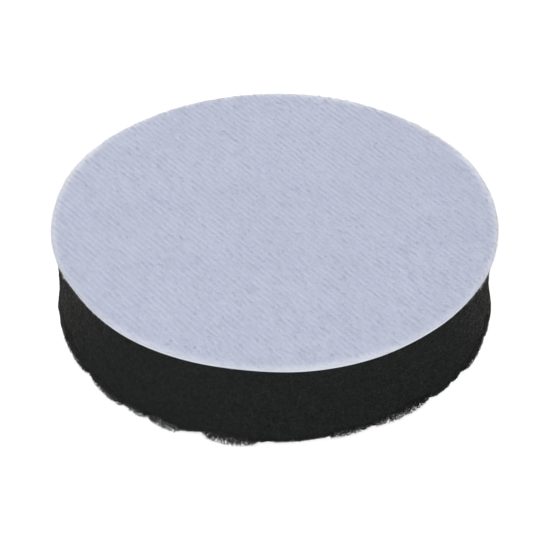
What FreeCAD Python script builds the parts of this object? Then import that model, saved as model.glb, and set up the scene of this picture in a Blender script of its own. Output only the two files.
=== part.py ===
import FreeCAD, Part
import math
import os
import PartDesign
import Sketcher

# A polishing pad for a rotary or orbital car polisher, lying on its working face.
# Origin: on the surface it lies on, under the pad's own axis. +Z runs up through the pad
# towards the looped backing. The foam block is cut a little narrower than the fabric disc
# laminated to it, its wall is slightly hollow, and its working face is dented in a square
# waffle grid that runs off the edge, which scallops the lower rim.

# Driving dimensions, all in millimetres and degrees.
DIMENSIONS = [
    ("backing_diameter", 150.0),
    ("backing_thickness", 1.2),
    ("backing_edge_radius", 0.35),
    ("film_diameter", 147.0),
    ("film_thickness", 0.3),
    ("foam_thickness", 33.5),
    ("foam_top_diameter", 147.8),
    ("foam_base_diameter", 148.0),
    ("foam_wall_hollow", 1.05),
    ("dent_pitch", 18.44),
    ("dent_depth", 2.6),
    ("dent_mouth_diameter", 15.4),
    ("dent_clearance", 2.0),
    ("dent_rows", 9),
    ("grid_angle", 27.2),
    ("grid_offset_along", 0.65),
    ("grid_offset_across", 5.17),
]

# The same values, for the rough shapes that the sketches' constraints then take over.
SIZES = dict(DIMENSIONS)

START, END, CENTRE = 1, 2, 3
H_AXIS, V_AXIS = -1, -2
ROOT_POINT = (H_AXIS, START)
FULL_TURN = 360.0
ORIGIN = FreeCAD.Vector(0, 0, 0)
ORIGIN_X = FreeCAD.Vector(1, 0, 0)
ORIGIN_Z = FreeCAD.Vector(0, 0, 1)


def make_sheet(doc):
    """The spreadsheet that every size in the model is bound to."""
    sheet = doc.addObject("Spreadsheet::Sheet", "dimensions")
    for row, (alias, value) in enumerate(DIMENSIONS, start=1):
        sheet.set(f"A{row}", alias)
        sheet.set(f"B{row}", str(value))
        sheet.setAlias(f"B{row}", alias)
    doc.recompute()
    return sheet


def make_body(doc, label):
    """A sub-part: its label is also the name of its file."""
    body = doc.addObject("PartDesign::Body", label)
    body.Label = label
    return body


def origin_plane(body, role):
    return next(item for item in body.Origin.OriginFeatures if item.Role == role)


def add_sketch(body, name, role):
    """A sketch lying on one of its own body's origin planes."""
    sketch = body.newObject("Sketcher::SketchObject", name)
    sketch.AttachmentSupport = [(origin_plane(body, role), "")]
    sketch.MapMode = "FlatFace"
    return sketch


def bind(sketch, name, constraint, expression):
    """Adds a named driving constraint and binds its value to the sheet."""
    index = sketch.addConstraint(constraint)
    sketch.renameConstraint(index, name)
    sketch.setExpression(f"Constraints.{name}", expression)


def add_disc(body, name, diameter, thickness):
    """A flat round disc, padded up from the body's XY plane."""
    sketch = add_sketch(body, f"{name}_outline", "XY_Plane")
    circle = sketch.addGeometry(Part.Circle(ORIGIN, ORIGIN_Z, SIZES[diameter] / 2), False)
    sketch.addConstraint(Sketcher.Constraint("Coincident", circle, CENTRE, *ROOT_POINT))
    bind(sketch, "outer", Sketcher.Constraint("Diameter", circle, SIZES[diameter]), f"dimensions.{diameter}")
    pad = body.newObject("PartDesign::Pad", name)
    pad.Profile = sketch
    pad.setExpression("Length", f"dimensions.{thickness}")
    return pad


def lift(body, expression):
    """Raises a sub-part to the layer it is laminated on."""
    body.setExpression("Placement.Base.z", expression)


def make_loop_backing(doc):
    """Loop-pile fabric disc, with its upper edge rounded by the cut pile."""
    body = make_body(doc, "loop_backing")
    disc = add_disc(body, "backing_disc", "backing_diameter", "backing_thickness")
    doc.recompute()
    rounded = body.newObject("PartDesign::Fillet", "backing_edge")
    rounded.Base = (disc, [top_edge_name(disc)])
    rounded.setExpression("Radius", "dimensions.backing_edge_radius")
    lift(body, "dimensions.foam_thickness + dimensions.film_thickness")
    return body


def top_edge_name(disc):
    """The name of the circular edge round the top of a disc."""
    heights = [edge.BoundBox.ZMin for edge in disc.Shape.Edges]
    return f"Edge{heights.index(max(heights)) + 1}"


def make_adhesive_film(doc):
    """Hot-melt film that holds the fabric to the foam, set in from the fabric's edge."""
    body = make_body(doc, "adhesive_film")
    add_disc(body, "film_disc", "film_diameter", "film_thickness")
    lift(body, "dimensions.foam_thickness")
    return body


def add_foam_block(body):
    """The foam block, turned about +Z, with a shallow arc for its hollow wall."""
    sketch = add_sketch(body, "foam_section", "XZ_Plane")
    base_radius = SIZES["foam_base_diameter"] / 2
    top_radius = SIZES["foam_top_diameter"] / 2
    height = SIZES["foam_thickness"]
    hollow = SIZES["foam_wall_hollow"]
    waist_radius = (base_radius + top_radius) / 2 - hollow
    arc_radius = (height ** 2 / 4 + hollow ** 2) / (2 * hollow)
    wall_base = FreeCAD.Vector(base_radius, 0, 0)
    wall_middle = FreeCAD.Vector(waist_radius, height / 2, 0)
    wall_top = FreeCAD.Vector(top_radius, height, 0)
    axis_top = FreeCAD.Vector(0, height, 0)
    base = sketch.addGeometry(Part.LineSegment(ORIGIN, wall_base), False)
    wall = sketch.addGeometry(Part.Arc(wall_base, wall_middle, wall_top), False)
    top = sketch.addGeometry(Part.LineSegment(wall_top, axis_top), False)
    axis = sketch.addGeometry(Part.LineSegment(axis_top, ORIGIN), False)
    wall_foot, wall_head = arc_ends(sketch, wall)
    sketch.addConstraint([
        Sketcher.Constraint("Coincident", base, START, *ROOT_POINT),
        Sketcher.Constraint("Coincident", base, END, wall, wall_foot),
        Sketcher.Constraint("Coincident", wall, wall_head, top, START),
        Sketcher.Constraint("Coincident", top, END, axis, START),
        Sketcher.Constraint("Coincident", axis, END, base, START),
        Sketcher.Constraint("Horizontal", base),
        Sketcher.Constraint("Horizontal", top),
        Sketcher.Constraint("Vertical", axis),
    ])
    bind(sketch, "base_radius", Sketcher.Constraint("DistanceX", base, START, base, END, base_radius),
         "dimensions.foam_base_diameter / 2")
    bind(sketch, "top_radius", Sketcher.Constraint("DistanceX", top, END, top, START, top_radius),
         "dimensions.foam_top_diameter / 2")
    bind(sketch, "thickness", Sketcher.Constraint("DistanceY", axis, END, axis, START, height),
         "dimensions.foam_thickness")
    bind(sketch, "wall_radius", Sketcher.Constraint("Radius", wall, arc_radius),
         "(dimensions.foam_thickness ^ 2 / 4 + dimensions.foam_wall_hollow ^ 2)"
         " / (2 * dimensions.foam_wall_hollow)")
    block = body.newObject("PartDesign::Revolution", "foam_block")
    block.Profile = sketch
    block.ReferenceAxis = (sketch, ["V_Axis"])
    block.Angle = FULL_TURN
    return block


def arc_ends(sketch, wall):
    """Which end of the wall's arc is at its foot and which is at its head."""
    foot_is_start = sketch.getPoint(wall, START).y < sketch.getPoint(wall, END).y
    return (START, END) if foot_is_start else (END, START)


def add_grid_lines(body):
    """A sketch turned to the waffle grid: its two axes are the directions of the rows."""
    grid = add_sketch(body, "waffle_grid", "XY_Plane")
    turn = FreeCAD.Rotation(ORIGIN_Z, SIZES["grid_angle"])
    grid.AttachmentOffset = FreeCAD.Placement(ORIGIN, turn)
    grid.setExpression("AttachmentOffset.Rotation.Angle", "dimensions.grid_angle")
    grid.addGeometry(Part.LineSegment(ORIGIN, ORIGIN_X * SIZES["dent_pitch"]), True)
    return grid


def add_first_dent(body):
    """One round dent in the working face, at the corner of the waffle grid."""
    sketch = add_sketch(body, "dent_section", "XZ_Plane")
    reach = "(dimensions.dent_rows - 1) / 2 * dimensions.dent_pitch"
    along = f"(dimensions.grid_offset_along - {reach})"
    across = f"(dimensions.grid_offset_across - {reach})"
    turn = "dimensions.grid_angle * 1deg"
    sketch.setExpression("AttachmentOffset.Base.x", f"{along} * cos({turn}) - {across} * sin({turn})")
    sketch.setExpression("AttachmentOffset.Base.z", f"-({along} * sin({turn}) + {across} * cos({turn}))")
    depth = SIZES["dent_depth"]
    mouth_radius = SIZES["dent_mouth_diameter"] / 2
    clearance = SIZES["dent_clearance"]
    dome_radius = (mouth_radius ** 2 + depth ** 2) / (2 * depth)
    half_out = mouth_radius / 2
    half_up = depth - dome_radius + math.sqrt(dome_radius ** 2 - half_out ** 2)
    crown = FreeCAD.Vector(0, depth, 0)
    mouth = FreeCAD.Vector(mouth_radius, 0, 0)
    half_way = FreeCAD.Vector(half_out, half_up, 0)
    mouth_below = FreeCAD.Vector(mouth_radius, -clearance, 0)
    axis_below = FreeCAD.Vector(0, -clearance, 0)
    axis = sketch.addGeometry(Part.LineSegment(crown, axis_below), False)
    base = sketch.addGeometry(Part.LineSegment(axis_below, mouth_below), False)
    side = sketch.addGeometry(Part.LineSegment(mouth_below, mouth), False)
    dome = sketch.addGeometry(Part.Arc(mouth, half_way, crown), False)
    mouth_end, crown_end = arc_ends(sketch, dome)
    sketch.addConstraint([
        Sketcher.Constraint("Coincident", axis, END, base, START),
        Sketcher.Constraint("Coincident", base, END, side, START),
        Sketcher.Constraint("Coincident", side, END, dome, mouth_end),
        Sketcher.Constraint("Coincident", dome, crown_end, axis, START),
        Sketcher.Constraint("PointOnObject", axis, START, V_AXIS),
        Sketcher.Constraint("PointOnObject", dome, CENTRE, V_AXIS),
        Sketcher.Constraint("PointOnObject", side, END, H_AXIS),
        Sketcher.Constraint("Vertical", axis),
        Sketcher.Constraint("Horizontal", base),
        Sketcher.Constraint("Vertical", side),
    ])
    bind(sketch, "depth", Sketcher.Constraint("DistanceY", *ROOT_POINT, axis, START, depth),
         "dimensions.dent_depth")
    bind(sketch, "mouth_radius", Sketcher.Constraint("DistanceX", *ROOT_POINT, side, END, mouth_radius),
         "dimensions.dent_mouth_diameter / 2")
    bind(sketch, "clearance", Sketcher.Constraint("DistanceY", side, START, side, END, clearance),
         "dimensions.dent_clearance")
    dent = body.newObject("PartDesign::Groove", "first_dent")
    dent.Profile = sketch
    dent.ReferenceAxis = (sketch, ["V_Axis"])
    dent.Angle = FULL_TURN
    return dent


def add_waffle(body, dent, grid):
    """Repeats the dent along the grid's two directions, past the rim on every side."""
    waffle = body.newObject("PartDesign::LinearPattern", "waffle_face")
    waffle.Originals = [dent]
    waffle.Direction = (grid, ["H_Axis"])
    waffle.Direction2 = (grid, ["V_Axis"])
    waffle.Mode = "Spacing"
    waffle.Mode2 = "Spacing"
    waffle.setExpression("Offset", "dimensions.dent_pitch")
    waffle.setExpression("Offset2", "dimensions.dent_pitch")
    waffle.setExpression("Occurrences", "dimensions.dent_rows")
    waffle.setExpression("Occurrences2", "dimensions.dent_rows")
    body.Tip = waffle
    return waffle


def make_foam_pad(doc):
    """Open-cell foam block with a waffle of round dents in its working face."""
    body = make_body(doc, "foam_pad")
    block = add_foam_block(body)
    doc.recompute()
    grid = add_grid_lines(body)
    dent = add_first_dent(body)
    doc.recompute()
    waffle = add_waffle(body, dent, grid)
    doc.recompute()
    if waffle.Shape.Volume >= block.Shape.Volume:
        raise RuntimeError("the waffle dents took nothing off the foam block")
    print("foam block", round(block.Shape.Volume), "mm3, with its dents", round(waffle.Shape.Volume), "mm3")
    return body


def check_document(doc, bodies):
    """Stops before anything is written if a feature or a sub-part is broken."""
    for item in doc.Objects:
        if "Invalid" in item.State or "Error" in item.State:
            raise RuntimeError(f"{item.Name} failed: {item.State}")
    for body in bodies:
        if body.Shape.isNull() or not body.Shape.isValid():
            raise RuntimeError(f"{body.Label} has no valid shape")


def write_parts(bodies):
    os.makedirs("parts", exist_ok=True)
    for body in bodies:
        body.Shape.exportStep(f"parts/{body.Label}.step")
        box = body.Shape.optimalBoundingBox()
        print(body.Label, len(body.Shape.Solids), "solid,", round(body.Shape.Volume), "mm3,",
              f"z {box.ZMin:.2f} to {box.ZMax:.2f}, width {box.XLength:.2f}")


document = FreeCAD.newDocument("polishing_pad")
make_sheet(document)
sub_parts = [make_foam_pad(document), make_adhesive_film(document), make_loop_backing(document)]
document.recompute()
check_document(document, sub_parts)
write_parts(sub_parts)
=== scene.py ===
import math

import bmesh
import bpy
import numpy as np
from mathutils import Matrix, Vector


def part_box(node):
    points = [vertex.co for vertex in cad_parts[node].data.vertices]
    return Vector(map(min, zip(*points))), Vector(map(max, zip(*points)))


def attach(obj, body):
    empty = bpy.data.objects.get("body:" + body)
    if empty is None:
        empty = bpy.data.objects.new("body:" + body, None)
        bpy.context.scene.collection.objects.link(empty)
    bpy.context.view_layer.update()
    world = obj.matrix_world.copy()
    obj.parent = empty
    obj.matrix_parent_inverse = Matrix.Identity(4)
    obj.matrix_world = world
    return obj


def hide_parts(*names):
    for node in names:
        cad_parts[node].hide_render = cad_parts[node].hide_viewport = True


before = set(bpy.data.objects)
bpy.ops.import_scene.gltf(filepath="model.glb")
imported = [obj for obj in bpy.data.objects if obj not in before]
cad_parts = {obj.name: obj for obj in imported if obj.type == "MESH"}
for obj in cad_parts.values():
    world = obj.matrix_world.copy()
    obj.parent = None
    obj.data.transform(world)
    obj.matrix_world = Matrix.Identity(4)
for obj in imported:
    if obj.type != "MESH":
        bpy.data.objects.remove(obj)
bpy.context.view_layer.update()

# A foam polishing pad lying on its working face, looped backing upwards. Metres, in the CAD frame.
MM = 0.001
TAU = 2 * math.pi

FOAM_LOW, FOAM_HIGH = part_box("foam_pad")
FILM_LOW, FILM_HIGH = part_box("adhesive_film")
CLOTH_LOW, CLOTH_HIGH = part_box("loop_backing")
CLOTH_RADIUS = (CLOTH_HIGH.x - CLOTH_LOW.x) / 2
FILM_RADIUS = (FILM_HIGH.x - FILM_LOW.x) / 2
FOAM_RADIUS = (FOAM_HIGH.x - FOAM_LOW.x) / 2
FOAM_TOP = FOAM_HIGH.z

# The backing's ribs: their pitch, the way they run across the disc, and the stitches along them.
RIB_PITCH = 1.98 * MM
RIB_TURN = math.radians(-51.8)
RIB_HEIGHT = 0.25 * MM
RIB_DRIFT = 0.05
STITCH_LENGTH = 0.8 * MM
GRAIN_LIFT = 0.012 * MM

# The die-cut edge has slight waves all the way: (waves round the edge, how far out, their phase).
EDGE_WAVES = (
    (9, 0.10 * MM, math.radians(15)),
    (16, 0.05 * MM, math.radians(70)),
)
# Where the edge swells or falls in: degrees round from the front, how far out in millimetres, and
# how many degrees it spreads to each side.
EDGE_SWELLS = (
    (-150, -0.3, 15),
    (-121, 0.6, 16),
    (-62, -0.8, 10),
    (-34, 0.4, 16),
    (17, 0.9, 22),
    (53, -0.3, 12),
    (92, -0.2, 10),
    (116, 0.5, 14),
    (160, 0.3, 12),
)
SHOULDER = 1.7 * MM
SHOULDER_DROP = 0.11 * MM
EDGE_ROUND = 0.36 * MM
EDGE_FUZZ = 0.42 * MM

# Small tufts where yarn ends hang over the edge: degrees round from the front, and how many ends.
TUFTS = ((63.5, 16), (-67.5, 14), (81.0, 12))

# The waffle: pillows between narrow crossing grooves, on a square grid.
WAFFLE_PITCH = 18.44 * MM
WAFFLE_TURN = math.radians(27.2)
WAFFLE_ORIGIN = (0.65 * MM, 5.17 * MM)
WAFFLE_DEPTH = 2.6 * MM
WAFFLE_SHARPNESS = 0.72
RIM_BLEND = 9 * MM

# Where the waffle is cut through, the lower rim hangs in lobes between notches. Each row starts at a
# notch: degrees round from the front, the notch's height, how far the lobe after it hangs below a
# line from notch to notch, how deep its frayed edge is, and how far along it is lowest. The heights
# are in millimetres.
FRONT_LOBES = (
    (-82.0, 4.2, -1.0, 5.0, 0.4),
    (-58.8, 2.1, 0.0, 0.9, 0.5),
    (-56.5, 3.5, 1.3, 2.6, 0.6),
    (-42.2, 2.2, 0.5, 2.2, 0.6),
    (-34.2, 2.4, 0.6, 2.8, 0.5),
    (-24.5, 2.0, 0.0, 0.2, 0.5),
    (-18.6, 3.6, 1.3, 3.1, 0.4),
    (-4.3, 2.7, 0.0, 0.2, 0.5),
    (-0.6, 3.2, 0.3, 0.2, 0.2),
    (13.8, 3.5, 0.5, 1.8, 0.3),
    (25.2, 3.9, 0.6, 2.8, 0.5),
    (43.7, 4.3, 1.1, 0.3, 0.5),
    (52.0, 3.8, 0.7, 0.4, 0.5),
    (56.4, 3.8, 0.2, 0.4, 0.5),
    (59.4, 2.6, 0.3, 3.2, 0.5),
    (73.0, 3.3, -0.1, 4.2, 0.5),
)
FRONT_END = 80.0
LOBE_BLUNT = 0.45

# The foam's wall: how far its waist is drawn in, how round its lower edge is, the size of its cells and
# how unevenly deep they are cut, and the shares of the struts that are there, stick out or are paler. The
# paler ones are painted glints.
WAIST_INSET = 1.5 * MM
RIM_ROUND = 0.22 * MM
CELL = 0.62 * MM
CELL_ROUGH = 0.06 * MM
STRUT_SHARE = 0.93
SPIKE_SHARE = 0.03
PAINTED_GLINT_SHARE = 0.12

# The frayed rim: the close foam ends one share of the fray's depth above its middle, and the last
# struts hang the other share below it.
SOLID_SHARE = 0.62
TIP_SHARE = 0.50

# Its layers of open cells: how many, how far apart, the size and roughness of their cells, the size
# of the thin places that go through them, and how high up they start.
FRAY_LAYERS = 8
FRAY_STEP = 0.08 * MM
FRAY_CELL = 0.46 * MM
FRAY_ROUGH = 0.10 * MM
FRAY_CLUMP = 0.36 * MM
FRAY_REACH = 9.0 * MM

# A strut's chance of being there: how fast it grows upwards, and how much the thin places change it.
FRAY_FILL = 1.25
FRAY_PATCHINESS = 2.4

# How many pieces the open cells and the frayed rim are made in, round the pad.
CELL_SECTORS = 4
FRAY_SECTORS = 6

# The foam's looks: the colour of its cut struts and of the few paler ones, which are painted glints, the
# sheen of its grazing edges, and the size of the cells that its material draws.
FOAM_STRUT = (0.0128, 0.0147, 0.0137, 1)
FOAM_PAINTED_GLINT = (0.0680, 0.0710, 0.0650, 1)
FOAM_SHEEN_TINT = (1.0, 0.96, 0.88)
FOAM_SHEEN_ROUGHNESS = 0.11
FOAM_CELL_SHADE = 0.55 * MM

# The filaments of the brushed pile: how far they stray from their rib, and how they are turned.
PILE_PIECES = 4
PILE_COUNT = 7000
PILE_STRAY = 0.42 * MM
PILE_TURN = 0.75
FUZZ_COUNT = 7500

# The cloth's paler rim: where it starts inside the outline and where it would be full, and its colours at
# the front and at the back. At the front it is whiter cut fibre and partly painted light from the front
# lamp. The paler back is painted light on the shoulder that faces away from the lamps.
PALE_RIM_START = 3.7 * MM
PALE_RIM_END = 1.2 * MM
PALE_AND_PAINTED_LIGHT_RIM_FRONT = (0.735, 0.770, 0.860, 1)
PAINTED_LIGHT_RIM_BACK = (0.85, 0.868, 0.92, 1)

# The first seed of each kind of random draw.
CLOTH_SEED = 3
FILM_SEED = 5
LOBE_SEED = 8
FOAM_SEED = 11
PILE_SEED = 20
FUZZ_SEED = 41
CELL_SEED = 60
FRAY_SEED = 80

# The camera: its distance in cloth radii, its height and its pitch, how far it stands to the right,
# and its lens in millimetres.
CAMERA_RADII = 11.26
CAMERA_HEIGHT = math.radians(37.82)
CAMERA_PITCH = math.radians(39.043)
CAMERA_ASIDE = 0.23 * MM
CAMERA_LENS = 165.07


# ---------------------------------------------------------------- mesh tools
def make_object(name, points, faces, material, smooth=True):
    """A mesh object from an array of points and a list of arrays of faces, one array per corner count."""
    mesh = bpy.data.meshes.new(name)
    faces = [np.asarray(f, dtype=np.int32) for f in faces if len(f)]
    corners = np.concatenate([f.ravel() for f in faces])
    counts = np.concatenate([np.full(len(f), f.shape[1], np.int32) for f in faces])
    starts = np.concatenate(([0], np.cumsum(counts)[:-1])).astype(np.int32)
    mesh.vertices.add(len(points))
    mesh.vertices.foreach_set("co", np.asarray(points, np.float32).ravel())
    mesh.loops.add(len(corners))
    mesh.loops.foreach_set("vertex_index", corners)
    mesh.polygons.add(len(counts))
    mesh.polygons.foreach_set("loop_start", starts)
    mesh.polygons.foreach_set("loop_total", counts)
    mesh.polygons.foreach_set("use_smooth", np.full(len(counts), smooth))
    mesh.update(calc_edges=True)
    mesh.validate()
    materials = material if isinstance(material, (list, tuple)) else [material]
    for item in materials:
        mesh.materials.append(item)
    piece = bpy.data.objects.new(name, mesh)
    bpy.context.scene.collection.objects.link(piece)
    return piece


def face_outwards(piece):
    """Turns every face of a closed mesh to look outwards."""
    work = bmesh.new()
    work.from_mesh(piece.data)
    bmesh.ops.recalc_face_normals(work, faces=work.faces)
    work.to_mesh(piece.data)
    work.free()


def normalised(v):
    """Vectors of length one, along the last axis."""
    return v / np.maximum(np.linalg.norm(v, axis=-1, keepdims=True), 1e-12)


def tubes(lines, radii, up, sides=3, caps=True):
    """Points and faces of one thin tube along each line; lines is (how many, points each, 3)."""
    count, steps, _ = lines.shape
    along = normalised(np.gradient(lines, axis=1))
    side = normalised(np.cross(along, up))
    over = np.cross(side, along)
    turn = np.arange(sides) / sides * TAU
    radii = np.broadcast_to(np.asarray(radii).reshape(count, -1, 1, 1), (count, steps, 1, 1))
    ring = (
        np.cos(turn)[None, None, :, None] * side[:, :, None, :]
        + np.sin(turn)[None, None, :, None] * over[:, :, None, :]
    )
    points = (lines[:, :, None, :] + radii * ring).reshape(-1, 3)
    tube, step, corner = np.meshgrid(
        np.arange(count), np.arange(steps - 1), np.arange(sides), indexing="ij"
    )
    here = (tube * steps + step) * sides
    nxt = (corner + 1) % sides
    quads = np.stack([here + corner, here + sides + corner, here + sides + nxt, here + nxt], axis=-1)
    faces = [quads.reshape(-1, 4)]
    if caps:
        first = np.arange(count)[:, None] * steps * sides + np.arange(sides)[None, :]
        last = first + (steps - 1) * sides
        faces.append(np.concatenate([first, last[:, ::-1]]))
    return points, faces


def shade_tubes(piece, shade, steps, sides=3, caps=True):
    """Gives each tube one of the piece's materials."""
    index = np.repeat(shade, (steps - 1) * sides)
    if caps:
        index = np.concatenate([index, shade, shade])
    piece.data.polygons.foreach_set("material_index", index.astype(np.int32))


def ring_quads(count, rings, offset=0):
    """Quads joining closed rings of the same number of points, stored one after another."""
    ring, i = np.meshgrid(np.arange(rings - 1), np.arange(count), indexing="ij")
    j = (i + 1) % count
    a = offset + ring * count
    return np.stack([a + i, a + j, a + count + j, a + count + i], axis=-1).reshape(-1, 4)


def fan(ring, centre):
    """Triangles from each side of a closed ring of point numbers to one centre point."""
    return np.column_stack([ring, np.roll(ring, -1), np.full(len(ring), centre)])


def smooth_step(x):
    """From 0 to 1 with level ends."""
    x = np.clip(x, 0, 1)
    return x * x * (3 - 2 * x)


def hashed(i, j):
    """A repeatable number from 0 to 1 for each pair of whole numbers."""
    value = np.sin(i * 127.1 + j * 311.7) * 43758.5453
    return value - np.floor(value)


def patches(u, v, wrap=0):
    """Smooth noise from -1 to 1 over a unit grid; wrap is the number of cells after which u repeats."""
    i, j = np.floor(u), np.floor(v)
    a, b = smooth_step(u - i), smooth_step(v - j)
    i0, i1 = (np.mod(i, wrap), np.mod(i + 1, wrap)) if wrap else (i, i + 1)
    low = hashed(i0, j) * (1 - a) + hashed(i1, j) * a
    high = hashed(i0, j + 1) * (1 - a) + hashed(i1, j + 1) * a
    return 2 * (low * (1 - b) + high * b) - 1


def sectors(count):
    """The first and last angle of each of a number of equal sectors round the pad."""
    return [(TAU * k / count, TAU * (k + 1) / count) for k in range(count)]


# ---------------------------------------------------------------- looped backing
def edge_radius(angle, radius):
    """The die-cut outline at an angle round the pad; the loose fibres stand out beyond it."""
    wander = sum(reach * np.cos(waves * angle - phase) for waves, reach, phase in EDGE_WAVES)
    from_front = np.degrees(angle) + 90
    for place, reach, spread in EDGE_SWELLS:
        away = (from_front - place + 180) % 360 - 180
        wander = wander + reach * MM * np.exp(-(away / spread) ** 2)
    return radius - EDGE_FUZZ + wander


def to_ribs(x, y):
    """Across and along the ribs, from the pad's X and Y."""
    along_x, along_y = math.cos(RIB_TURN), math.sin(RIB_TURN)
    return -x * along_y + y * along_x, x * along_x + y * along_y


def from_ribs(across, along):
    """The pad's X and Y, from across and along the ribs."""
    along_x, along_y = math.cos(RIB_TURN), math.sin(RIB_TURN)
    return -across * along_y + along * along_x, across * along_x + along * along_y


def rib_drift(across, along):
    """How far the ribs wander sideways, in pitches."""
    return RIB_DRIFT * np.sin(along / (17 * MM) + 1.3 * np.sin(across / (23 * MM)))


def cloth_lift(x, y):
    """How far the cloth's face stands above its flat plane: ribs, their stitches and slow waves."""
    across, along = to_ribs(x, y)
    rib = across / RIB_PITCH + rib_drift(across, along)
    number = np.round(rib)
    crest = np.cos(math.pi * (rib - number)) ** 2
    stitch = patches(number * 7.0, along / STITCH_LENGTH + 0.5 * np.mod(number, 2))
    slow = 0.05 * MM * np.sin(x / (19 * MM) + 0.6) * np.cos(y / (24 * MM) - 0.4)
    return RIB_HEIGHT * (1.0 * (crest - 0.5) + 0.22 * stitch * crest) + slow


def cloth_face(x, y):
    """Height of the cloth's upper face, shoulder included."""
    angle = np.arctan2(y, x)
    inside = edge_radius(angle, CLOTH_RADIUS) - np.hypot(x, y)
    near = 1 - smooth_step(inside / SHOULDER)
    lift = cloth_lift(x, y) * (1 - 0.75 * near)
    return CLOTH_HIGH.z + lift - SHOULDER_DROP * near ** 2


def make_cloth(material):
    """The knitted disc: ribs on its face, a rounded shoulder and a cut edge, flat underneath."""
    columns, rows = 520, 160
    rng = np.random.default_rng(CLOTH_SEED)
    evenly = np.linspace(1, -1, columns + 1)[1:-1]
    angles = np.arccos(0.5 * evenly + 0.5 * np.sin(math.pi / 2 * evenly))
    rim = np.concatenate([[0], angles, [math.pi], -angles[::-1]])

    def rim_points(turn, inset):
        across_angle = turn + RIB_TURN + math.pi / 2
        reach = edge_radius(across_angle, CLOTH_RADIUS) - inset
        return reach * np.cos(across_angle), reach * np.sin(across_angle)

    near_x, near_y = rim_points(angles, SHOULDER)
    far_x, far_y = rim_points(-angles, SHOULDER)
    share = np.linspace(0, 1, rows + 1)[None, :]
    face_x = near_x[:, None] * (1 - share) + far_x[:, None] * share
    face_y = near_y[:, None] * (1 - share) + far_y[:, None] * share
    pole_x, pole_y = rim_points(np.array([0, math.pi]), SHOULDER)
    x = np.concatenate([face_x.ravel(), pole_x])
    y = np.concatenate([face_y.ravel(), pole_y])
    grain = rng.normal(0, GRAIN_LIFT, len(x))
    layers = [np.column_stack([x, y, cloth_face(x, y) + grain])]

    width = rows + 1
    i, j = np.meshgrid(np.arange(columns - 2), np.arange(rows), indexing="ij")
    here = i * width + j
    face = np.stack([here, here + 1, here + width + 1, here + width], axis=-1).reshape(-1, 4)
    first_pole, last_pole = (columns - 1) * width, (columns - 1) * width + 1
    last = (columns - 2) * width
    j = np.arange(rows)
    poles = np.concatenate([
        np.column_stack([np.full(rows, first_pole), j + 1, j]),
        np.column_stack([np.full(rows, last_pole), last + j, last + j + 1]),
    ])

    # The inner ring is the rim of the ribbed face, in order round the disc.
    side = np.arange(columns - 1) * width
    inner = np.concatenate([[first_pole], side, [last_pole], side[::-1] + rows])
    count = len(inner)
    rings = []
    for inset in SHOULDER * np.array([0.80, 0.62, 0.46, 0.34]):
        x, y = rim_points(rim, inset)
        rings.append(np.column_stack([x, y, cloth_face(x, y)]))
    for tilt in np.radians([15, 40, 65, 90]):
        x, y = rim_points(rim, EDGE_ROUND * (1 - math.sin(tilt)))
        rings.append(np.column_stack([x, y, cloth_face(x, y) - EDGE_ROUND * (1 - math.cos(tilt))]))
    thickness = CLOTH_HIGH.z - CLOTH_LOW.z
    for inset, drop in ((0.04 * MM, 0.75), (0.16 * MM, 1.0)):
        x, y = rim_points(rim, inset)
        rings.append(np.column_stack([x, y, np.full(count, CLOTH_HIGH.z - thickness * drop)]))
    ring_start = len(layers[0])
    centre = ring_start + len(rings) * count
    layers.extend(rings)
    layers.append(np.array([[0, 0, CLOTH_LOW.z]]))
    first = np.arange(count)
    following = (first + 1) % count
    join = np.column_stack([inner[first], inner[following], ring_start + following, ring_start + first])
    bands = ring_quads(count, len(rings), ring_start)
    cap = fan(centre - count + first, centre)
    faces = [face, poles, join, bands, cap]
    piece = make_object("loop_backing_cloth", np.concatenate(layers), faces, material)
    face_outwards(piece)
    return piece


def make_pile(name, materials, seed, count):
    """Filaments of the brushed loops: short low arches, most of them lying along the ribs."""
    rng = np.random.default_rng(seed)
    reach = CLOTH_RADIUS * np.sqrt(rng.random(count)) * 0.992
    angle = rng.random(count) * TAU
    across, along = to_ribs(reach * np.cos(angle), reach * np.sin(angle))
    drift = rib_drift(across, along)
    rib = np.round(across / RIB_PITCH + drift) - drift
    across = rib * RIB_PITCH + rng.normal(0, PILE_STRAY, count)
    heading = rng.normal(0, PILE_TURN, count)
    length = rng.uniform(0.5, 1.5, count) * MM
    height = rng.uniform(0.08, 0.26, count) * MM
    bow = rng.normal(0, 0.10, count) * MM
    steps = 5
    u = np.linspace(0, 1, steps)[None, :]
    run = (u - 0.5) * length[:, None]
    off = bow[:, None] * np.sin(math.pi * u)
    a = across[:, None] + run * np.sin(heading)[:, None] + off
    b = along[:, None] + run * np.cos(heading)[:, None]
    x, y = from_ribs(a, b)
    limit = edge_radius(np.arctan2(y, x), CLOTH_RADIUS) - 0.25 * MM
    shrink = np.minimum(1, limit / np.hypot(x, y))
    x, y = x * shrink, y * shrink
    z = cloth_face(x, y) - 0.05 * MM + height[:, None] * np.sin(math.pi * u) ** 0.7
    lines = np.stack([x, y, z], axis=-1)
    points, faces = tubes(lines, rng.uniform(0.032, 0.055, count) * MM, np.array([0, 0, 1.0]))
    piece = make_object(name, points, faces, materials)
    shade_tubes(piece, rng.integers(0, len(materials), count), steps)
    return piece


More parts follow.
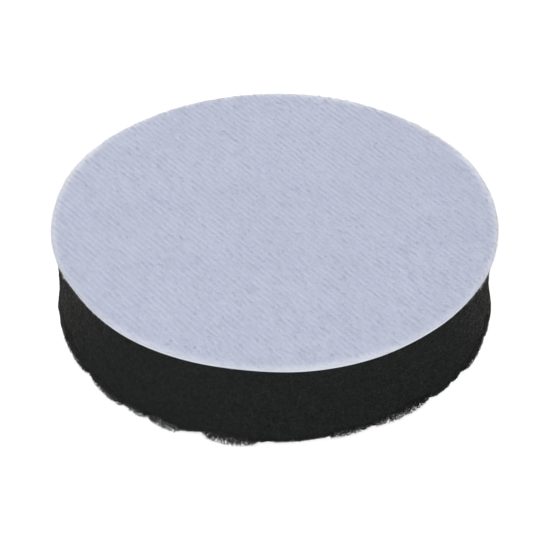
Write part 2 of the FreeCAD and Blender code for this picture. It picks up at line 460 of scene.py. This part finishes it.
def make_edge_fuzz(name, materials, seed, count, tufts):
    """Loose ends of yarn all round the die-cut edge, and a few tufts that hang over it."""
    rng = np.random.default_rng(seed)
    tuft_angles = [math.radians(place - 90) + rng.normal(0, 0.6 * MM / CLOTH_RADIUS, ends)
                   for place, ends in tufts]
    angle = np.concatenate([rng.random(count) * TAU, *tuft_angles])
    hanging = np.arange(len(angle)) >= count
    count = len(angle)
    # The nap lies towards the back, so the loose ends are longest there and combed under at the front.
    towards_back = 0.5 + 0.5 * np.clip(np.sin(angle) + 0.45, -1, 1)
    inset = np.where(hanging, 0.1, rng.uniform(0.0, 1.0, count) ** 1.6 * (0.4 + 0.9 * towards_back)) * MM
    free = 0.25 + rng.uniform(0.1, 1.0, count) * (0.25 + 1.25 * towards_back) * rng.random(count)
    length = np.where(hanging, rng.uniform(0.6, 1.3, count), free) * MM
    lean = rng.normal(0, 0.6, count)
    rise = np.where(hanging, rng.uniform(-1.1, -0.3, count), rng.normal(0.10 + 0.25 * towards_back, 0.30, count))
    steps = 4
    u = np.linspace(0, 1, steps)[None, :]
    reach = edge_radius(angle, CLOTH_RADIUS) - inset
    out = reach[:, None] + length[:, None] * u * (1 - 0.2 * u)
    turn = angle[:, None] + lean[:, None] * u * length[:, None] / CLOTH_RADIUS
    x, y = out * np.cos(turn), out * np.sin(turn)
    depth = np.where(inset < 0.2 * MM, rng.uniform(0.1, 0.55, count), 0.10) * MM
    root = cloth_face(reach * np.cos(angle), reach * np.sin(angle)) - depth
    z = root[:, None] + (rise * length)[:, None] * u * (1 - 0.35 * u)
    lines = np.stack([x, y, z], axis=-1)
    points, faces = tubes(lines, rng.uniform(0.018, 0.030, count) * MM, np.array([0, 0, 1.0]))
    piece = make_object(name, points, faces, materials)
    shade_tubes(piece, rng.integers(0, len(materials), count), steps)
    return piece


# ---------------------------------------------------------------- bond line
def make_bond_line(material):
    """The hot-melt film between cloth and foam, squeezed a little unevenly at its edge."""
    count = 720
    angle = np.arange(count) / count * TAU
    rng = np.random.default_rng(FILM_SEED)
    ragged = np.convolve(rng.normal(0, 0.25 * MM, count + 8), np.ones(9) / 9, mode="valid")
    reach = edge_radius(angle, FILM_RADIUS) + ragged
    thickness = FILM_HIGH.z - FILM_LOW.z
    layers = []
    for bulge, height in ((0, 0.1), (0.08 * MM, 0.5), (0, 0.9)):
        r = reach + bulge
        z = np.full(count, FILM_LOW.z + thickness * height)
        layers.append(np.column_stack([r * np.cos(angle), r * np.sin(angle), z]))
    rings = len(layers)
    layers.append(np.array([[0, 0, FILM_LOW.z + thickness * 0.1], [0, 0, FILM_LOW.z + thickness * 0.9]]))
    ring = np.arange(count)
    bottom = fan(ring, rings * count)[:, ::-1]
    top = fan(ring + (rings - 1) * count, rings * count + 1)
    faces = [ring_quads(count, rings), bottom, top]
    return make_object("bond_line", np.concatenate(layers), faces, material)


# ---------------------------------------------------------------- foam
def all_lobes():
    """The lobes all round: those of the front, then uneven ones of the same kind round the back."""
    rng = np.random.default_rng(LOBE_SEED)
    rows = list(FRONT_LOBES)
    place = FRONT_END
    end = FRONT_LOBES[0][0] + 360
    while place < end - 8:
        rows.append((place, rng.uniform(2.8, 4.2), rng.uniform(0.7, 2.2), rng.uniform(0.3, 2.0),
                     rng.uniform(0.3, 0.7)))
        place += rng.uniform(9, 18)
    rows.append((end, *FRONT_LOBES[0][1:]))
    return np.array(rows)


LOBES = all_lobes()


def rim_line(angle):
    """Middle height of the lower rim at an angle round the pad, and how deep its frayed edge is."""
    first = LOBES[0, 0]
    place = np.mod(np.degrees(angle) + 90 - first, 360) + first
    k = np.clip(np.searchsorted(LOBES[:, 0], place, side="right") - 1, 0, len(LOBES) - 2)
    u = (place - LOBES[k, 0]) / (LOBES[k + 1, 0] - LOBES[k, 0])
    lowest = LOBES[k, 4]
    share = np.clip(np.minimum(u / lowest, (1 - u) / (1 - lowest)), 0, 1)
    lobe = np.sin(math.pi / 2 * share) ** LOBE_BLUNT
    middle = LOBES[k, 1] * (1 - u) + LOBES[k + 1, 1] * u - LOBES[k, 2] * lobe
    return middle * MM, (0.5 + LOBES[k, 3] * lobe) * MM


def solid_rim(angle):
    """Where the close foam ends; below it only struts are left."""
    middle, fray = rim_line(angle)
    cells = FOAM_RADIUS * TAU / MM
    ragged = 0
    for size, reach in ((1.6, 0.16 * MM), (0.7, 0.14 * MM)):
        count = round(cells / size)
        ragged = ragged + reach * patches(angle / TAU * count, 0.5 + 0 * angle, count)
    return middle + SOLID_SHARE * fray + ragged * (0.35 + 0.65 * fray / (2 * MM))


def waffle(x, y):
    """Height of the working face above the surface the pad lies on."""
    c, s = math.cos(WAFFLE_TURN), math.sin(WAFFLE_TURN)
    u = (x * c + y * s - WAFFLE_ORIGIN[0]) / WAFFLE_PITCH
    v = (-x * s + y * c - WAFFLE_ORIGIN[1]) / WAFFLE_PITCH
    pillow = np.abs(np.sin(math.pi * u) * np.sin(math.pi * v)) ** WAFFLE_SHARPNESS
    return WAFFLE_DEPTH * (1 - pillow)


def working_face(x, y):
    """The waffle, running into the lower rim near the wall."""
    angle = np.arctan2(y, x)
    near = smooth_step((np.hypot(x, y) - FOAM_RADIUS + RIM_BLEND) / RIM_BLEND)
    return (waffle(x, y) + 0.30 * MM) * (1 - near) + solid_rim(angle) * near


def wall_radius(angle, z):
    """The foam wall's radius: drawn in at its waist, and not quite round."""
    share = z / FOAM_TOP
    arc = 1 - (2 * share - 1) ** 2
    top = FOAM_RADIUS - 0.1 * MM * share
    slow = 0.34 * MM * np.sin(3 * angle - 1.2) + 0.12 * MM * np.sin(7 * angle + 2.1 + 2 * share)
    return top - WAIST_INSET * arc + slow * (0.4 + 0.6 * arc)


def wall_bumps(angle, z):
    """Unevenness of the knife-cut wall, at two sizes."""
    girth = FOAM_RADIUS * TAU
    total = 0
    for size, lift in ((3.1 * MM, 0.05 * MM), (0.9 * MM, 0.06 * MM)):
        cells = round(girth / size)
        total = total + lift * patches(angle / TAU * cells, z / size, cells)
    return total


def make_foam(material):
    """The foam block: a cellular wall, and a waffle underneath whose grooves run off the rim."""
    columns, rows = 1024, 62
    rng = np.random.default_rng(FOAM_SEED)
    angle = np.arange(columns) / columns * TAU
    rim_z = solid_rim(angle)
    share = np.linspace(0, 1, rows + 1)[:, None]
    z = FOAM_TOP * (1 - share) + (rim_z[None, :] + RIM_ROUND) * share
    r = wall_radius(angle[None, :], z) + wall_bumps(angle[None, :] + 0 * z, z)
    pits = rng.normal(0, 0.055 * MM, r.shape)
    pits[0] = 0
    r = r + pits
    layers = [
        np.stack([r[k] * np.cos(angle), r[k] * np.sin(angle), z[k]], axis=-1) for k in range(rows + 1)
    ]
    base_r = wall_radius(angle, rim_z)
    for tilt in np.radians([45, 80]):
        rr = base_r - RIM_ROUND * (1 - math.cos(tilt)) + rng.normal(0, 0.05 * MM, columns)
        zz = rim_z + RIM_ROUND * (1 - math.sin(tilt)) + rng.normal(0, 0.06 * MM, columns)
        layers.append(np.stack([rr * np.cos(angle), rr * np.sin(angle), zz], axis=-1))
    wall_rings = len(layers)
    quads = [ring_quads(columns, wall_rings)]
    tris = []
    # Underneath, rings step in towards the middle, each with half as many points where they crowd.
    start, count, radius = (wall_rings - 1) * columns, columns, base_r.mean() - 0.5 * MM
    total = wall_rings * columns
    while radius > 2.0 * MM:
        spacing = TAU * radius / count
        halve = spacing < 0.75 * MM and count > 16
        new_count = count // 2 if halve else count
        radius -= max(0.6 * MM, min(1.2 * MM, TAU * radius / new_count))
        turn = np.arange(new_count) / new_count * TAU
        x, y = radius * np.cos(turn), radius * np.sin(turn)
        layers.append(np.column_stack([x, y, working_face(x, y) + rng.normal(0, 0.04 * MM, new_count)]))
        i = np.arange(new_count)
        j = (i + 1) % new_count
        if halve:
            a, b, c = start + 2 * i, start + 2 * i + 1, start + (2 * i + 2) % count
            tris.extend([
                np.column_stack([a, b, total + i]),
                np.column_stack([b, total + j, total + i]),
                np.column_stack([b, c, total + j]),
            ])
        else:
            quads.append(np.column_stack([start + i, start + j, total + j, total + i]))
        start, count, total = total, new_count, total + new_count
    layers.append(np.array([[0, 0, working_face(0.0, 0.0)], [0, 0, FOAM_TOP]]))
    tris.append(fan(start + np.arange(count), total))
    top = fan(np.arange(columns), total + 1)
    faces = [np.concatenate(quads)[:, ::-1], np.concatenate(tris)[:, ::-1], top]
    return make_object("foam_block", np.concatenate(layers), faces, material)


def cell_net(rng, first, last, height, cell, rough):
    """Ends of the struts of one layer of open cells, as angle, distance down and depth.

    The cells are an uneven honeycomb: the middles of the triangles of a shaken lattice are the
    corners, and struts join the middles of triangles that share a side. Their depth varies by rough."""
    turn_step = cell / FOAM_RADIUS
    row_step = cell * 0.866
    # The net's end columns carry no struts, so it starts and stops a cell further out.
    first, last = first - turn_step, last + turn_step
    columns = int(round((last - first) / turn_step))
    rows = int(height / row_step) + 2
    i, j = np.meshgrid(np.arange(columns + 1), np.arange(rows + 1), indexing="ij")
    angle = first + (i + 0.5 * (j % 2)) * turn_step + rng.uniform(-0.27, 0.27, i.shape) * turn_step
    drop = j * row_step + rng.uniform(-0.27, 0.27, i.shape) * row_step
    spikes = (rng.random(i.shape) < SPIKE_SHARE) * rng.uniform(0.2, 0.7, i.shape)
    depth = rng.normal(0, rough, i.shape) + spikes * MM

    def mid(a, b, c):
        return np.stack([(q[a] + q[b] + q[c]).ravel() / 3 for q in (angle, drop, depth)], axis=-1)

    struts = []
    for shift in (0, 1):
        across, down_rows = np.arange(1, columns - 1), np.arange(shift, rows - 1, 2)
        ii, jj = np.meshgrid(across, down_rows, indexing="ij")
        low, low_right = (ii - 1 + shift, jj + 1), (ii + shift, jj + 1)
        down = mid((ii, jj), low, low_right)
        up_right = mid((ii, jj), (ii + 1, jj), low_right)
        up_left = mid((ii - 1, jj), (ii, jj), low)
        below = mid(low, low_right, (ii, jj + 2))
        struts.extend([(down, up_right), (down, up_left), (down, below)])
    starts = np.concatenate([start for start, end in struts])
    ends = np.concatenate([end for start, end in struts])
    return np.stack([starts, ends], axis=1)


def strut_tubes(name, materials, lines, radii, pale):
    """Struts as thin tubes, with their flat sides towards the wall's outside; a few are paler, as painted
    glints.
    """
    outward = normalised(lines.mean(axis=1) * np.array([1, 1, 0.0]))
    up = np.repeat(outward[:, None, :], 2, axis=1)
    points, faces = tubes(lines, radii, up, caps=False)
    piece = make_object(name, points, faces, materials)
    shade_tubes(piece, pale, 2, caps=False)
    return piece


def make_cells(name, materials, seed, first, last):
    """The net of cut cells that covers one sector of the wall."""
    rng = np.random.default_rng(seed)
    net = cell_net(rng, first, last, FOAM_TOP, CELL, CELL_ROUGH)
    angle, z = net[..., 0], FOAM_TOP - 0.15 * MM - net[..., 1]
    over = z.mean(axis=1) - solid_rim(angle.mean(axis=1))
    keep = (over > -0.1 * MM) & (z.min(axis=1) > 0.05 * MM) & (rng.random(len(z)) < STRUT_SHARE)
    angle, z, depth = angle[keep], z[keep], net[keep][..., 2]
    r = wall_radius(angle, z) + wall_bumps(angle, z) + 0.02 * MM + depth
    lines = np.stack([r * np.cos(angle), r * np.sin(angle), z], axis=-1)
    radii = rng.uniform(0.038, 0.062, len(lines)) * MM
    return strut_tubes(name, materials, lines, radii, rng.random(len(lines)) < PAINTED_GLINT_SHARE)


def make_fray(name, materials, seed, first, last):
    """The torn lower edge of one sector: layers of open cells that thin out below the close foam."""
    rng = np.random.default_rng(seed)
    stack = []
    for layer in range(FRAY_LAYERS):
        net = cell_net(rng, first, last, FRAY_REACH, FRAY_CELL, FRAY_ROUGH)
        angle, z = net[..., 0], FRAY_REACH - net[..., 1]
        depth = net[..., 2] + 0.15 * MM - layer * FRAY_STEP
        over, around = z.mean(axis=1), angle.mean(axis=1)
        middle, fray = rim_line(around)
        tips = middle - TIP_SHARE * fray
        left = (over - tips) / (solid_rim(around) - tips)
        share = np.clip(left, 0, 1)
        # The same thin places go through all the layers, so that light shows through them.
        clump = patches(around * FOAM_RADIUS / FRAY_CLUMP, over / FRAY_CLUMP)
        chance = FRAY_FILL * share + FRAY_PATCHINESS * clump * share * (1 - share)
        keep = (left > 0) & (left < 1.25) & (z.min(axis=1) > 0.04 * MM)
        keep &= rng.random(len(over)) < chance
        angle, z, depth = angle[keep], z[keep], depth[keep]
        r = wall_radius(angle, z) + depth
        stack.append(np.stack([r * np.cos(angle), r * np.sin(angle), z], axis=-1))
    lines = np.concatenate(stack)
    radii = rng.uniform(0.050, 0.082, len(lines)) * MM
    return strut_tubes(name, materials, lines, radii, rng.random(len(lines)) < PAINTED_GLINT_SHARE)


# ---------------------------------------------------------------- materials
def new_material(name, roughness, specular, sheen=0.0, sheen_roughness=0.5, sheen_tint=(1, 1, 1)):
    """A Principled material with its constants set on the shader's own sockets."""
    material = bpy.data.materials.new(name)
    material.use_nodes = True
    shader = material.node_tree.nodes["Principled BSDF"]
    shader.inputs["Roughness"].default_value = roughness
    shader.inputs["Specular IOR Level"].default_value = specular
    shader.inputs["Sheen Weight"].default_value = sheen
    shader.inputs["Sheen Roughness"].default_value = sheen_roughness
    shader.inputs["Sheen Tint"].default_value = (*sheen_tint, 1)
    return material, material.node_tree.nodes, material.node_tree.links, shader


def ramp(nodes, stops):
    """A colour ramp through (place, colour) stops."""
    node = nodes.new("ShaderNodeValToRGB")
    while len(node.color_ramp.elements) < len(stops):
        node.color_ramp.elements.new(0.5)
    for element, (place, colour) in zip(node.color_ramp.elements, stops):
        element.position = place
        element.color = (*colour, 1)
    return node


def noise(nodes, links, vector, scale, detail):
    """The factor of a noise texture whose features are about 1 / scale metres across."""
    texture = nodes.new("ShaderNodeTexNoise")
    texture.inputs["Scale"].default_value = scale
    texture.inputs["Detail"].default_value = detail
    links.new(vector, texture.inputs["Vector"])
    return texture.outputs["Fac"]


def eased(nodes, links, value, low, high, easing="LINEAR"):
    """From 0 where a value is at its low end to 1 at its high end."""
    node = nodes.new("ShaderNodeMapRange")
    node.interpolation_type = easing
    node.inputs["From Min"].default_value = low
    node.inputs["From Max"].default_value = high
    links.new(value, node.inputs["Value"])
    return node.outputs["Result"]


def add_bump(nodes, links, shader, height, strength, distance, invert=False):
    """Makes a shader's surface follow a height."""
    bump = nodes.new("ShaderNodeBump")
    bump.invert = invert
    bump.inputs["Strength"].default_value = strength
    bump.inputs["Distance"].default_value = distance
    links.new(height, bump.inputs["Height"])
    links.new(bump.outputs["Normal"], shader.inputs["Normal"])


def mixed(nodes, links, blend, factor, a, b):
    """One colour blended with another; each is a socket or a plain colour, and so is the factor."""
    node = nodes.new("ShaderNodeMix")
    node.data_type = "RGBA"
    node.blend_type = blend
    for socket, value in ((node.inputs["Factor"], factor), (node.inputs["A"], a), (node.inputs["B"], b)):
        if isinstance(value, bpy.types.NodeSocket):
            links.new(value, socket)
        else:
            socket.default_value = value
    return node.outputs["Result"]


def cloth_material():
    """Lavender white knit: slow mottling, fibre-sized grain along the ribs, and a paler edge. At the
    front the edge is whiter cut fibre with painted light; at the back it is painted light alone.
    """
    material, nodes, links, shader = new_material("loop_knit", 0.92, 0.2, 0.2, 0.55)
    place = nodes.new("ShaderNodeTexCoord").outputs["Object"]
    turned = nodes.new("ShaderNodeMapping")
    turned.inputs["Rotation"].default_value = (0, 0, -RIB_TURN)
    links.new(place, turned.inputs["Vector"])
    stretched = nodes.new("ShaderNodeMapping")
    stretched.inputs["Scale"].default_value = (0.75, 1, 1)
    links.new(turned.outputs["Vector"], stretched.inputs["Vector"])
    fibres = noise(nodes, links, stretched.outputs["Vector"], 1 / (0.44 * MM), 3)
    specks = noise(nodes, links, place, 1 / (0.62 * MM), 1)
    mottle = noise(nodes, links, place, 1 / (26 * MM), 4)
    yarn = ramp(nodes, [(0.30, (0.543, 0.575, 0.720)), (0.70, (0.633, 0.665, 0.809))])
    links.new(fibres, yarn.inputs["Fac"])
    pits = ramp(nodes, [
        (0.28, (0.945, 0.945, 0.955)), (0.42, (1.0, 1.0, 1.0)), (0.70, (1.02, 1.02, 1.015))
    ])
    links.new(specks, pits.inputs["Fac"])
    slow = ramp(nodes, [(0.30, (0.96, 0.965, 0.97)), (0.70, (1.0, 1.0, 1.0))])
    links.new(mottle, slow.inputs["Fac"])
    shaded = mixed(nodes, links, "MULTIPLY", 1.0, yarn.outputs["Color"], pits.outputs["Color"])
    shaded = mixed(nodes, links, "MULTIPLY", 1.0, shaded, slow.outputs["Color"])
    flat = nodes.new("ShaderNodeVectorMath")
    flat.operation = "MULTIPLY"
    flat.inputs[1].default_value = (1, 1, 0)
    links.new(place, flat.inputs[0])
    reach = nodes.new("ShaderNodeVectorMath")
    reach.operation = "LENGTH"
    links.new(flat.outputs["Vector"], reach.inputs[0])
    # Painted light: the rim blends to a paler colour. At the front this is partly whiter cut fibre and
    # partly painted light; towards the back it is painted light alone.
    rim = eased(nodes, links, reach.outputs["Value"], CLOTH_RADIUS - PALE_RIM_START,
                CLOTH_RADIUS + PALE_RIM_END, "SMOOTHERSTEP")
    level = nodes.new("ShaderNodeSeparateXYZ")
    links.new(place, level.inputs["Vector"])
    # Towards the back the rim is paler still. This is painted light that makes up for the shade on the
    # shoulder that faces away from the lamps.
    towards_back = eased(nodes, links, level.outputs["Y"], -0.9 * CLOTH_RADIUS, 0.5 * CLOTH_RADIUS, "SMOOTHSTEP")
    pale = mixed(nodes, links, "MIX", towards_back, PALE_AND_PAINTED_LIGHT_RIM_FRONT, PAINTED_LIGHT_RIM_BACK)
    edged = mixed(nodes, links, "MIX", rim, shaded, pale)
    # Below the shoulder the cloth's side is drawn darker, fully so towards its underside.
    side = eased(nodes, links, level.outputs["Z"], CLOTH_HIGH.z - 0.9 * MM, CLOTH_HIGH.z - 0.4 * MM)
    cut = mixed(nodes, links, "MULTIPLY", 1.0, edged, (0.86, 0.88, 0.90, 1))
    sided = mixed(nodes, links, "MIX", side, cut, edged)
    links.new(sided, shader.inputs["Base Color"])
    add_bump(nodes, links, shader, fibres, 0.5, 0.10 * MM)
    return material


def filament_material(name, colour):
    """Fine yarn: one plain shade each, and a mix of shades over many filaments."""
    material, _, _, shader = new_material(name, 0.75, 0.3, 0.2, 0.5)
    shader.inputs["Base Color"].default_value = (*colour, 1)
    return material


def film_material():
    """Milky hot-melt film, a little uneven where it soaks into the cloth. Its darkness and blue cast are
    painted shade of the gap under the cloth's edge.
    """
    material, nodes, links, shader = new_material("hot_melt_film_painted_shade", 0.45, 0.4)
    place = nodes.new("ShaderNodeTexCoord").outputs["Object"]
    soak = noise(nodes, links, place, 1 / (1.1 * MM), 3)
    # Painted shade: the film's tone is a dark bluish grey, standing in for the shaded gap under the
    # cloth's edge.
    tone = ramp(nodes, [(0.35, (0.20, 0.21, 0.25)), (0.65, (0.30, 0.31, 0.36))])
    links.new(soak, tone.inputs["Fac"])
    links.new(tone.outputs["Color"], shader.inputs["Base Color"])
    add_bump(nodes, links, shader, soak, 0.4, 0.05 * MM)
    return material


def foam_material():
    """Black open-cell foam: each cell mouth its own random depth of black, darker on average than the
    slightly paler struts around it, as painted shade inside the open cells.
    """
    material, nodes, links, shader = new_material(
        "black_open_cell_foam", 0.9, 0.10, 0.20, FOAM_SHEEN_ROUGHNESS, FOAM_SHEEN_TINT
    )
    place = nodes.new("ShaderNodeTexCoord").outputs["Object"]
    walls = nodes.new("ShaderNodeTexVoronoi")
    walls.feature = "DISTANCE_TO_EDGE"
    walls.inputs["Scale"].default_value = 1 / FOAM_CELL_SHADE
    links.new(place, walls.inputs["Vector"])
    cells = nodes.new("ShaderNodeTexVoronoi")
    cells.inputs["Scale"].default_value = 1 / FOAM_CELL_SHADE
    links.new(place, cells.inputs["Vector"])
    lone = nodes.new("ShaderNodeSeparateColor")
    links.new(cells.outputs["Color"], lone.inputs["Color"])
    # Painted shade: the cell mouths run from near black to a little above the struts' colour. They are
    # darker on average, to stand in for the shade inside the open cells.
    shaded_mouth = ramp(nodes, [(0.0, (0.0011, 0.0013, 0.0012)), (1.0, (0.0205, 0.0234, 0.0219))])
    links.new(lone.outputs["Red"], shaded_mouth.inputs["Fac"])
    edge = ramp(nodes, [(0.04, (1, 1, 1)), (0.22, (0, 0, 0))])
    links.new(walls.outputs["Distance"], edge.inputs["Fac"])
    toned = mixed(nodes, links, "MIX", edge.outputs["Color"], shaded_mouth.outputs["Color"], FOAM_STRUT)
    links.new(toned, shader.inputs["Base Color"])
    add_bump(nodes, links, shader, walls.outputs["Distance"], 0.7, 0.25 * MM, invert=True)
    return material


def strut_material(name, colour):
    """The foam's struts, too thin to show more than one shade each."""
    material, _, _, shader = new_material(name, 0.8, 0.10, 0.15, FOAM_SHEEN_ROUGHNESS, FOAM_SHEEN_TINT)
    shader.inputs["Base Color"].default_value = colour
    return material


# ---------------------------------------------------------------- studio
def plain_emission(name, colour, strength):
    """A material that only glows."""
    material = bpy.data.materials.new(name)
    material.use_nodes = True
    nodes = material.node_tree.nodes
    nodes.clear()
    glow = nodes.new("ShaderNodeEmission")
    glow.inputs["Color"].default_value = (*colour, 1)
    glow.inputs["Strength"].default_value = strength
    out = nodes.new("ShaderNodeOutputMaterial")
    material.node_tree.links.new(glow.outputs["Emission"], out.inputs["Surface"])
    return material


def make_floor():
    """A plain white floor that glows enough to leave only a trace of a shadow."""
    material, _, _, shader = new_material("studio_white", 0.9, 0.1)
    shader.inputs["Base Color"].default_value = (0.40, 0.40, 0.40, 1)
    shader.inputs["Emission Color"].default_value = (1, 1, 1, 1)
    shader.inputs["Emission Strength"].default_value = 0.92
    half = 3.0
    corners = np.array([(-half, -half, 0), (half, -half, 0), (half, half, 0), (-half, half, 0)])
    floor = make_object("studio_floor", corners, [np.array([[0, 1, 2, 3]])], material, smooth=False)
    return floor


def make_backdrop():
    """A white dome that only the camera sees."""
    count, rings, radius = 48, 13, 4.0
    angle = np.arange(count) / count * TAU
    levels = np.linspace(-0.25, 1.0, rings) * math.pi / 2
    levels[-1] = math.pi / 2 * 0.999
    layers = [np.column_stack([radius * math.cos(a) * np.cos(angle), radius * math.cos(a) * np.sin(angle),
                               np.full(count, radius * math.sin(a))]) for a in levels]
    dome = make_object("studio_backdrop", np.concatenate(layers), [ring_quads(count, rings)],
                       plain_emission("studio_white_glow", (1, 1, 1), 1.02))
    for ray in ("visible_diffuse", "visible_glossy", "visible_transmission", "visible_shadow"):
        setattr(dome, ray, False)
    return dome


def make_area_light(name, place, target, size, power):
    """A white softbox turned towards a target."""
    data = bpy.data.lights.new(name, "AREA")
    data.shape = "RECTANGLE"
    data.size, data.size_y = size
    data.energy = power
    lamp = bpy.data.objects.new(name, data)
    lamp.location = place
    direction = Vector(target) - Vector(place)
    lamp.rotation_euler = direction.to_track_quat("-Z", "Y").to_euler()
    bpy.context.scene.collection.objects.link(lamp)
    return lamp


def make_lights():
    """A softbox overhead and one in front, two strips behind for the outermost wall, and soft air."""
    middle = (0, 0, CLOTH_HIGH.z / 2)
    make_area_light("overhead_softbox", (-0.25, -0.22, 1.3), middle, (1.3, 1.1), 9.55)
    make_area_light("front_softbox", (0.32, -1.42, 0.45), middle, (1.2, 0.7), 5.3)
    make_area_light("left_strip", (-0.45, 1.38, 0.35), middle, (0.5, 0.8), 6.5)
    make_area_light("right_strip", (0.45, 1.38, 0.35), middle, (0.5, 0.8), 8.0)
    world = bpy.data.worlds.new("studio_air")
    bpy.context.scene.world = world
    world.use_nodes = True
    sky = world.node_tree.nodes["Background"]
    sky.inputs["Color"].default_value = (1, 1, 1, 1)
    sky.inputs["Strength"].default_value = 0.31


def make_camera():
    """A long lens, in front of the pad and above it."""
    distance = CAMERA_RADII * CLOTH_RADIUS
    data = bpy.data.cameras.new("camera")
    data.sensor_width = 36
    data.lens = CAMERA_LENS
    camera = bpy.data.objects.new("camera", data)
    camera.location = (
        CAMERA_ASIDE,
        -distance * math.cos(CAMERA_HEIGHT),
        CLOTH_HIGH.z + distance * math.sin(CAMERA_HEIGHT),
    )
    camera.rotation_euler = (math.pi / 2 - CAMERA_PITCH, 0, 0)
    bpy.context.scene.collection.objects.link(camera)
    bpy.context.scene.camera = camera
    bpy.context.scene.view_settings.view_transform = "Standard"


# ---------------------------------------------------------------- assembly
make_camera()
make_lights()
make_floor()
make_backdrop()

filaments = [
    filament_material("filament_pale", (0.675, 0.70, 0.795)),
    filament_material("filament_mid", (0.58, 0.61, 0.72)),
    filament_material("filament_deep", (0.52, 0.55, 0.68)),
]
# The loose yarn ends are paler than the pile. In part this is whiter cut fibre, and in part it is painted
# light that lifts the shaded edge of the cloth.
ends_of_yarn = [
    filament_material("yarn_end_white", (0.90, 0.90, 0.93)),
    filament_material("yarn_end_grey", (0.80, 0.80, 0.85)),
]

cloth = make_cloth(cloth_material())
pile = [
    make_pile(f"loop_pile_{k + 1}", filaments, PILE_SEED + k, PILE_COUNT) for k in range(PILE_PIECES)
]
fuzz = [
    make_edge_fuzz("cut_edge_fuzz_1", ends_of_yarn, FUZZ_SEED, FUZZ_COUNT, TUFTS),
    make_edge_fuzz("cut_edge_fuzz_2", ends_of_yarn, FUZZ_SEED + 1, FUZZ_COUNT, ()),
]
bond = make_bond_line(film_material())
foam = make_foam(foam_material())
# The paler strut material gives a few struts painted glints.
struts = [strut_material("foam_strut", FOAM_STRUT), strut_material("foam_strut_painted_glint", FOAM_PAINTED_GLINT)]
cells = [
    make_cells(f"open_cells_{k + 1}", struts, CELL_SEED + k, *span)
    for k, span in enumerate(sectors(CELL_SECTORS))
]
fray = [
    make_fray(f"frayed_rim_{k + 1}", struts, FRAY_SEED + k, *span)
    for k, span in enumerate(sectors(FRAY_SECTORS))
]

for piece in (cloth, *pile, *fuzz):
    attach(piece, "root")
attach(bond, "root")
for piece in (foam, *cells, *fray):
    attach(piece, "root")

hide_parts("loop_backing")
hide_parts("adhesive_film")
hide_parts("foam_pad")
